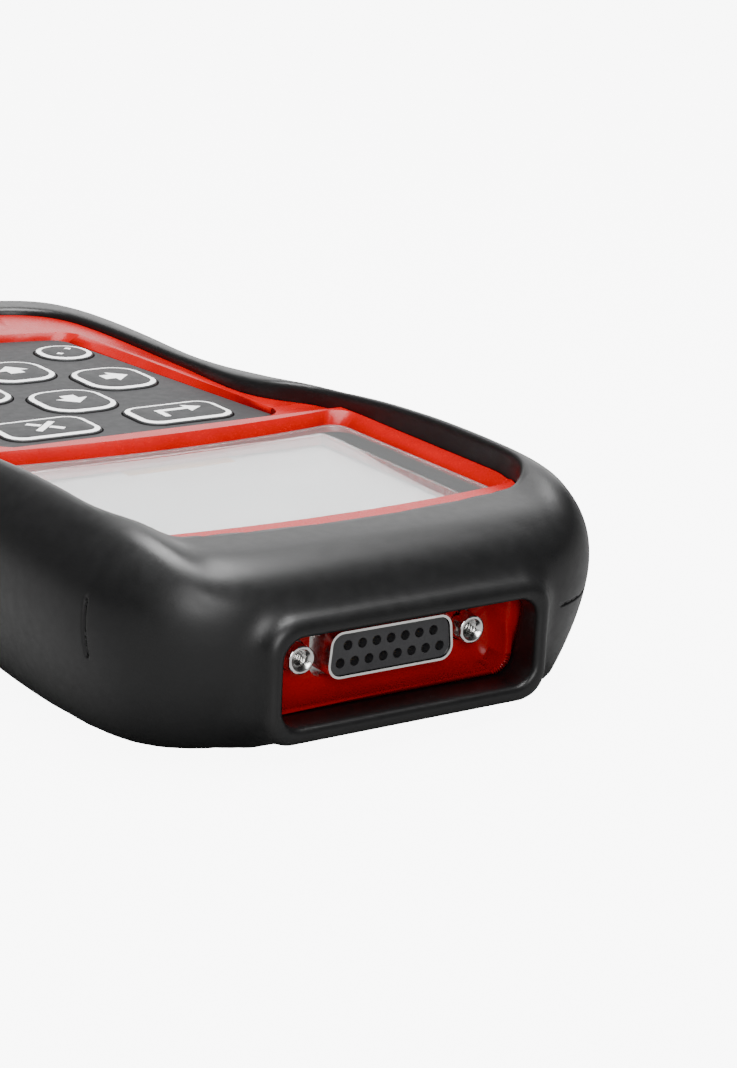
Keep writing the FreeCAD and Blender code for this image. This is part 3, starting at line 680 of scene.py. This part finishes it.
def dot(x, y, r, n=20):
    """Corners of a round shape."""
    return [(x + r * math.cos(2 * math.pi * i / n), y + r * math.sin(2 * math.pi * i / n)) for i in range(n)]


def tube_faces(first, n, rings):
    """Faces between rings of n points each, the first point being number first."""
    return [(first + i * n + k, first + i * n + (k + 1) % n, first + (i + 1) * n + (k + 1) % n,
             first + (i + 1) * n + k) for i in range(rings - 1) for k in range(n)]


def corner_path(key, inset, steps=10):
    """Rounded rectangle round a key, moved inwards by inset, as a closed list of points."""
    cx, cy, w, h, r = key
    r = max(r - inset, 0.4)
    path = []
    for index, (sx, sy) in enumerate(((1, 1), (-1, 1), (-1, -1), (1, -1))):
        for k in range(steps + 1):
            angle = math.pi / 2 * (index + k / steps)
            path.append((cx + sx * (w / 2 - inset - r) + r * math.cos(angle),
                         cy + sy * (h / 2 - inset - r) + r * math.sin(angle)))
    return path


def key_cap(key):
    """Skirt, side and domed face of one key, and the stem that presses its dome."""
    levels = [(-0.6, STEM_TOP), (-0.6, 25.65), (-0.5, 25.75), (0.0, 25.75), (0.0, KEY_TOP - 0.62),
              (0.03, KEY_TOP - 0.53), (0.12, KEY_TOP - 0.45)]
    levels += [(inset, None) for inset in (0.3, 0.6, 1.0, 1.5, 2.1, 2.8, 3.6, 4.4)]
    points, faces = [], []
    for inset, z in levels:
        path = corner_path(key, inset)
        for x, y in path:
            points.append((x, y, z if z is not None else float(pillow(x, y, key))))
    n = len(path)
    faces += tube_faces(0, n, len(levels))
    faces.append(tuple(reversed(range(n))))
    faces.append(tuple((len(levels) - 1) * n + k for k in range(n)))
    stem = len(points)
    for z in (STEM_FOOT, STEM_TOP):
        points += [(x, y, z) for x, y in dot(key[0], key[1], STEM_RADIUS, STEM_SIDES)]
    faces += tube_faces(stem, STEM_SIDES, 2)
    faces.append(tuple(stem + k for k in reversed(range(STEM_SIDES))))
    return points, faces


def tidy(mesh, sharp_degrees):
    """Weld, drop empty faces, turn all normals outwards and shade smooth between sharp edges."""
    work = bmesh.new()
    work.from_mesh(mesh)
    bmesh.ops.remove_doubles(work, verts=work.verts, dist=1e-6)
    bmesh.ops.dissolve_degenerate(work, edges=work.edges, dist=1e-7)
    bmesh.ops.recalc_face_normals(work, faces=work.faces)
    work.to_mesh(mesh)
    work.free()
    for polygon in mesh.polygons:
        polygon.use_smooth = True
    mesh.set_sharp_from_angle(angle=math.radians(sharp_degrees))
    return mesh


# %% the eight caps and their rings
ring = ring_tree()
for name, key in KEYS.items():
    cx, cy, w, h, r = key
    cap = tidy(raw_mesh("cap_" + name[4:], *key_cap(key)), 45)
    piece("cap_" + name[4:], cap, KEYCAP, name, stands_for=(name,), smooth=None)
    mesh = grown(ring, Width=(w - 2 * INSET) * MM, Height=(h - 2 * INSET) * MM, Radius=(r - INSET) * MM,
                 Band=BAND * MM, Thick=THICK * MM, Centre=(cx * MM, cy * MM, KEY_TOP * MM), Ink=INK)
    piece("ring_" + name[4:], draped(mesh, key), INK, name, smooth=False)

# %% [markdown]
# ## Signs
# The signs are the generic ones of any keypad: block arrows for the four directions, a return arrow, a
# cross for going back, and on the two round keys a slanted bar and a small ring of dots.

# %% the keys' signs
def slab(outlines, cx, cy):
    """Thin printed shapes from closed outlines in the key's own millimetres."""
    points, faces = [], []
    for shape in outlines:
        area = sum(a[0] * b[1] - b[0] * a[1] for a, b in zip(shape, shape[1:] + shape[:1]))
        shape = shape if area > 0 else shape[::-1]
        n, base = len(shape), len(points)
        for z in (KEY_TOP - THICK / 2, KEY_TOP + THICK / 2):
            points += [(cx + x, cy + y, z) for x, y in shape]
        faces.append(tuple(base + n + i for i in range(n)))
        faces.append(tuple(base + i for i in reversed(range(n))))
        faces += [(base + i, base + (i + 1) % n, base + n + (i + 1) % n, base + n + i) for i in range(n)]
    return points, faces


def bar(x0, y0, x1, y1, thick):
    """Corners of a straight stroke."""
    n = math.hypot(x1 - x0, y1 - y0)
    dx, dy = -(y1 - y0) / n * thick / 2, (x1 - x0) / n * thick / 2
    return [(x0 + dx, y0 + dy), (x0 - dx, y0 - dy), (x1 - dx, y1 - dy), (x1 + dx, y1 + dy)]


def turned(shape, quarter):
    """A shape turned by quarter turns."""
    c, s = [(1, 0), (0, 1), (-1, 0), (0, -1)][quarter % 4]
    return [(x * c - y * s, x * s + y * c) for x, y in shape]


ARROW = [(-1.5, -2.5), (1.5, -2.5), (1.5, -0.3), (3.3, -0.3), (0, 3.1), (-3.3, -0.3), (-1.5, -0.3)]
SIGNS = {
    "key_up": [ARROW], "key_left": [turned(ARROW, 1)], "key_down": [turned(ARROW, 2)],
    "key_right": [turned(ARROW, 3)],
    "key_enter": [[(-5.4, -0.9), (-2.2, 1.4), (-2.2, -3.2)],
                  [(-2.3, -1.5), (4.4, -1.5), (4.4, 3.0), (3.2, 3.0), (3.2, -0.3), (-2.3, -0.3)]],
    "key_back": [bar(-2.6, -2.6, 2.6, 2.6, 1.25), bar(-2.6, 2.6, -0.62, 0.62, 1.25),
                 bar(0.62, -0.62, 2.6, -2.6, 1.25)],
    "key_status": [bar(-2.1, -2.0, 2.1, 2.0, 1.2)],
    "key_help": [dot(2.3 * math.cos(a * math.pi / 3), 2.3 * math.sin(a * math.pi / 3), 0.62)
                 for a in range(6)] + [dot(0, 0, 0.75)],
}
for name, shapes in SIGNS.items():
    cx, cy = KEYS[name][:2]
    mesh = draped(raw_mesh("sign", *slab(shapes, cx, cy)), KEYS[name])
    piece("sign_" + name[4:], mesh, INK, name, smooth=False)

# %% [markdown]
# ## Jack nuts
# The two nuts beside the socket are turned brass, nickel plated: a hexagon with its corners rounded
# off, a narrow countersink, and a thread of 0.64 mm pitch inside. They are turned from one profile, and the
# thread is a spiral swept with a small triangle.

# %% nut bodies
LOWEST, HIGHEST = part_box("jack_nuts")
JACK_X, JACK_Z = 16.65, 14.0
NUT_BACK, NUT_FRONT = LOWEST[1] / MM, HIGHEST[1] / MM
SHOULDER = 87.8                   # where the hexagon starts, in front of the flange
SHANK, BORE, HEX, FLATS = 1.45, 1.25, 2.55, 2.36


def turned_nut(cx, turns=72):
    """Rings of a lathe profile (y, radius), the outer ones pinched to a hexagon."""
    profile = [(NUT_BACK, 0.0), (NUT_BACK, 1.35), (NUT_BACK + 0.15, SHANK), (SHOULDER - 0.05, SHANK),
               (SHOULDER, 2.3), (SHOULDER + 0.1, HEX), (NUT_FRONT - 0.42, HEX), (NUT_FRONT - 0.18, 2.46),
               (NUT_FRONT - 0.04, 2.3), (NUT_FRONT, 2.12), (NUT_FRONT, 1.92), (NUT_FRONT - 0.05, 1.82),
               (NUT_FRONT - 0.55, 1.32), (NUT_FRONT - 0.62, BORE), (SHOULDER - 0.4, BORE),
               (SHOULDER - 0.6, 0.0)]
    points = []
    for y, r in profile:
        for k in range(turns):
            angle = 2 * math.pi * k / turns
            flat = FLATS / math.cos((angle + math.pi / 6) % (math.pi / 3) - math.pi / 6)
            reach = min(r, flat) if r > 2.2 else r
            points.append((cx + reach * math.cos(angle), y, JACK_Z + reach * math.sin(angle)))
    return points, tube_faces(0, turns, len(profile))


points, faces = [], []
for s in (-1, 1):
    more, rings = turned_nut(s * JACK_X)
    faces += [tuple(len(points) + i for i in face) for face in rings]
    points += more
piece("jack_nut_bodies", tidy(raw_mesh("nuts", points, faces), 35), NICKEL, "housing", smooth=None,
      stands_for=("jack_nuts",))


# %% the thread tree
THREAD_RADIUS, THREAD_LENGTH, THREAD_DEPTH, THREAD_TURNS = 1.22, 4.1, 0.22, 6.4


def thread_tree():
    """A triangle swept along a spiral."""
    tree = bpy.data.node_groups.new("inner_thread", "GeometryNodeTree")
    for name in ("Radius", "Length", "Turns", "Depth"):
        tree.interface.new_socket(name, in_out="INPUT", socket_type="NodeSocketFloat")
    tree.interface.new_socket("Start", in_out="INPUT", socket_type="NodeSocketVector")
    tree.interface.new_socket("Metal", in_out="INPUT", socket_type="NodeSocketMaterial")
    tree.interface.new_socket("Geometry", in_out="OUTPUT", socket_type="NodeSocketGeometry")
    given = tree.nodes.new("NodeGroupInput").outputs
    result = tree.nodes.new("NodeGroupOutput")
    path = node(tree, "GeometryNodeCurveSpiral",
                {"Start Radius": given["Radius"], "End Radius": given["Radius"],
                 "Height": given["Length"], "Rotations": given["Turns"]}, Resolution=32)
    tooth = node(tree, "GeometryNodeCurvePrimitiveCircle", {"Radius": given["Depth"]}, Resolution=3)
    swept = node(tree, "GeometryNodeCurveToMesh",
                 {"Curve": path.outputs["Curve"], "Profile Curve": tooth.outputs["Curve"]}, Fill_Caps=True)
    laid = node(tree, "GeometryNodeTransform",
                {"Geometry": swept.outputs["Mesh"], "Translation": given["Start"]},
                Rotation=(-math.pi / 2, 0, 0))
    real = node(tree, "GeometryNodeRealizeInstances", {"Geometry": laid.outputs["Geometry"]})
    done = node(tree, "GeometryNodeSetMaterial",
                {"Geometry": real.outputs["Geometry"], "Material": given["Metal"]})
    tree.links.new(done.outputs["Geometry"], result.inputs["Geometry"])
    return tree


thread = thread_tree()
for tag, s in (("left", -1), ("right", 1)):
    mesh = grown(thread, Radius=THREAD_RADIUS * MM, Length=THREAD_LENGTH * MM, Turns=THREAD_TURNS,
                 Depth=THREAD_DEPTH * MM, Metal=NICKEL,
                 Start=(s * JACK_X * MM, (SHOULDER - 0.1) * MM, JACK_Z * MM))
    piece("jack_thread_" + tag, mesh, NICKEL, "housing")

# %% [markdown]
# ## Floor and light
# A plain pale floor and soft lamps, as in a product studio: a big card above and behind that lays a
# soft highlight along the rim, one straight above, and a weak low one near the socket that reaches into
# its pocket. Floor and sky are bright to the camera only, so the background is white and the dark
# rubber doesn't turn grey.

# %% floor and sky
FLOOR_GLOW, SKY_SEEN, SKY_LIGHT = 8.0, 9.0, 0.09


def backdrop(tree, shader, strength):
    """Add white to what the camera sees of a surface, and nothing to what it lights."""
    seen = node(tree, "ShaderNodeLightPath")
    glow = node(tree, "ShaderNodeMath", {0: seen.outputs["Is Camera Ray"]})
    glow.operation = "MULTIPLY"
    glow.inputs[1].default_value = strength
    shader.inputs["Emission Color"].default_value = (1, 1, 1, 1)
    tree.links.new(glow.outputs[0], shader.inputs["Emission Strength"])


pale = finish("pale_floor", (0.20, 0.20, 0.20), (0.21, 0.21, 0.21), (0.7, 0.8), [(3.0, 0.002)], 200.0,
              Specular_IOR_Level=0.1)
backdrop(pale.node_tree, pale.node_tree.nodes["Principled BSDF"], FLOOR_GLOW)
floor_mesh = bpy.data.meshes.new("floor")
floor_mesh.from_pydata([(-4, -4, 0), (4, -4, 0), (4, 4, 0), (-4, 4, 0)], [], [(0, 1, 2, 3)])
floor_mesh.materials.append(pale)
floor = bpy.data.objects.new("floor", floor_mesh)
COLLECTION.objects.link(floor)

world = bpy.data.worlds.new("studio")
world.use_nodes = True
sky = world.node_tree
sky.nodes["Background"].inputs["Color"].default_value = (1, 1, 1, 1)
seen = sky.nodes.new("ShaderNodeLightPath")
level = node(sky, "ShaderNodeMapRange", {"Value": seen.outputs["Is Camera Ray"]}, To_Min=SKY_LIGHT,
             To_Max=SKY_SEEN)
sky.links.new(level.outputs["Result"], sky.nodes["Background"].inputs["Strength"])
bpy.context.scene.world = world


# %% lamps
def lamp(name, place, aim, size, power):
    """A square soft lamp at a place in metres, turned towards another, with its power in watts."""
    data = bpy.data.lights.new(name, "AREA")
    data.size, data.energy = size, power
    made = bpy.data.objects.new(name, data)
    made.location = place
    made.rotation_euler = (Vector(aim) - Vector(place)).to_track_quat("-Z", "Y").to_euler()
    COLLECTION.objects.link(made)


away = Vector((-math.sin(AZIMUTH), math.cos(AZIMUTH), 0))
lamp("back_card", away * 1.7 + Vector((0, 0, 0.62)), (0, 0, 0.02), 1.7, 20.0)
lamp("overhead", (0.0, 0.0, 0.80), (0, 0, 0), 0.6, 26.0)
lamp("near_side", (0.32, 0.85, 0.34), (0, 0.08, 0.01), 0.45, 6.0)
